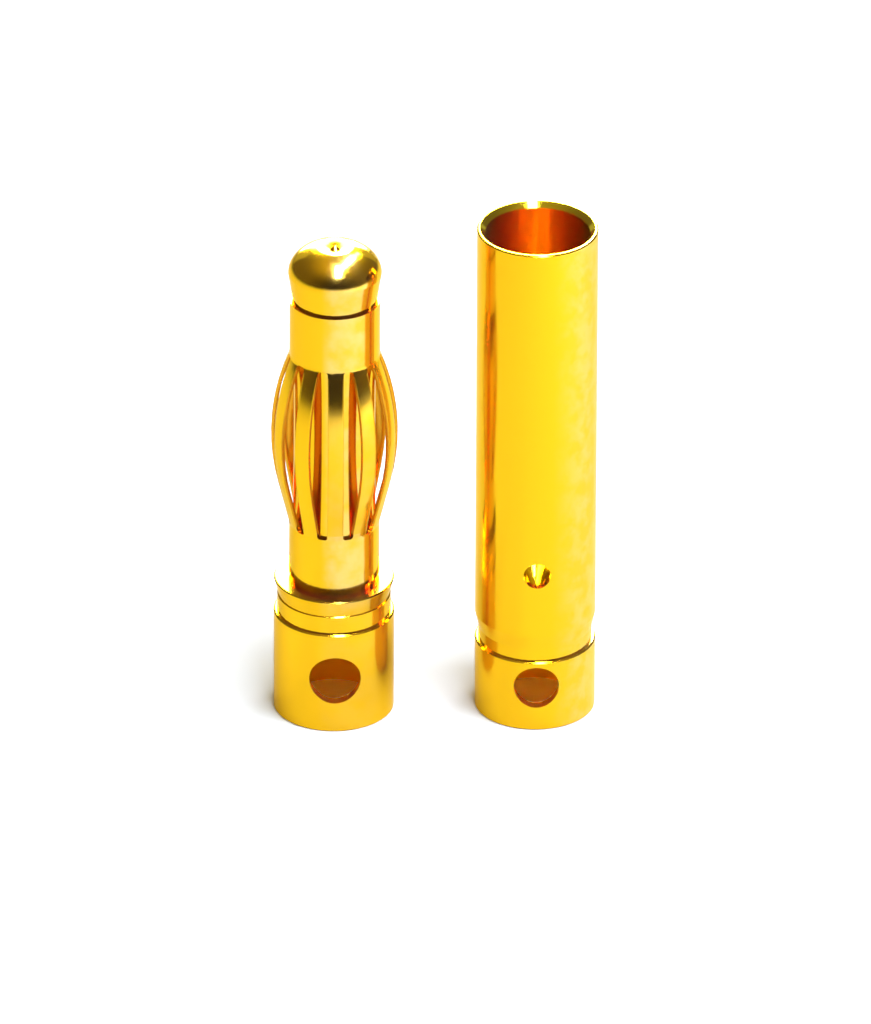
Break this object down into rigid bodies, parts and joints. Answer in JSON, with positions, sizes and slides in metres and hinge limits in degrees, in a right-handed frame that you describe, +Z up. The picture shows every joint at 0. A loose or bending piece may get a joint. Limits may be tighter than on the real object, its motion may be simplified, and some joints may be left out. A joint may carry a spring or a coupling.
{
  "type": "bullet connector plug and socket for a battery lead",
  "caption": "Gold-plated round power connector: a plug with a bowed slotted spring cage beside its tube socket, each with a solder cup.",
  "frame": {"origin": "midway between the plug's and the socket's axes, on the surface that both stand on", "axes": "+Z up along both axes; the plug is at -X and the socket at +X; the solder holes face -Y"},
  "size_m": [0.0129, 0.005, 0.0213],
  "materials": {
    "gold_turned_plug": "turned brass, bright gold plate, faint turning marks",
    "gold_spring_sheet": "rolled spring sheet, bright gold plate",
    "gold_turned_socket": "turned brass, bright gold plate, faint turning marks"
  },
  "bodies": {
    "root": {"plug_pin": "gold_turned_plug", "contact_cage": "gold_spring_sheet", "socket_barrel": "gold_turned_socket"}
  },
  "joints": []
}
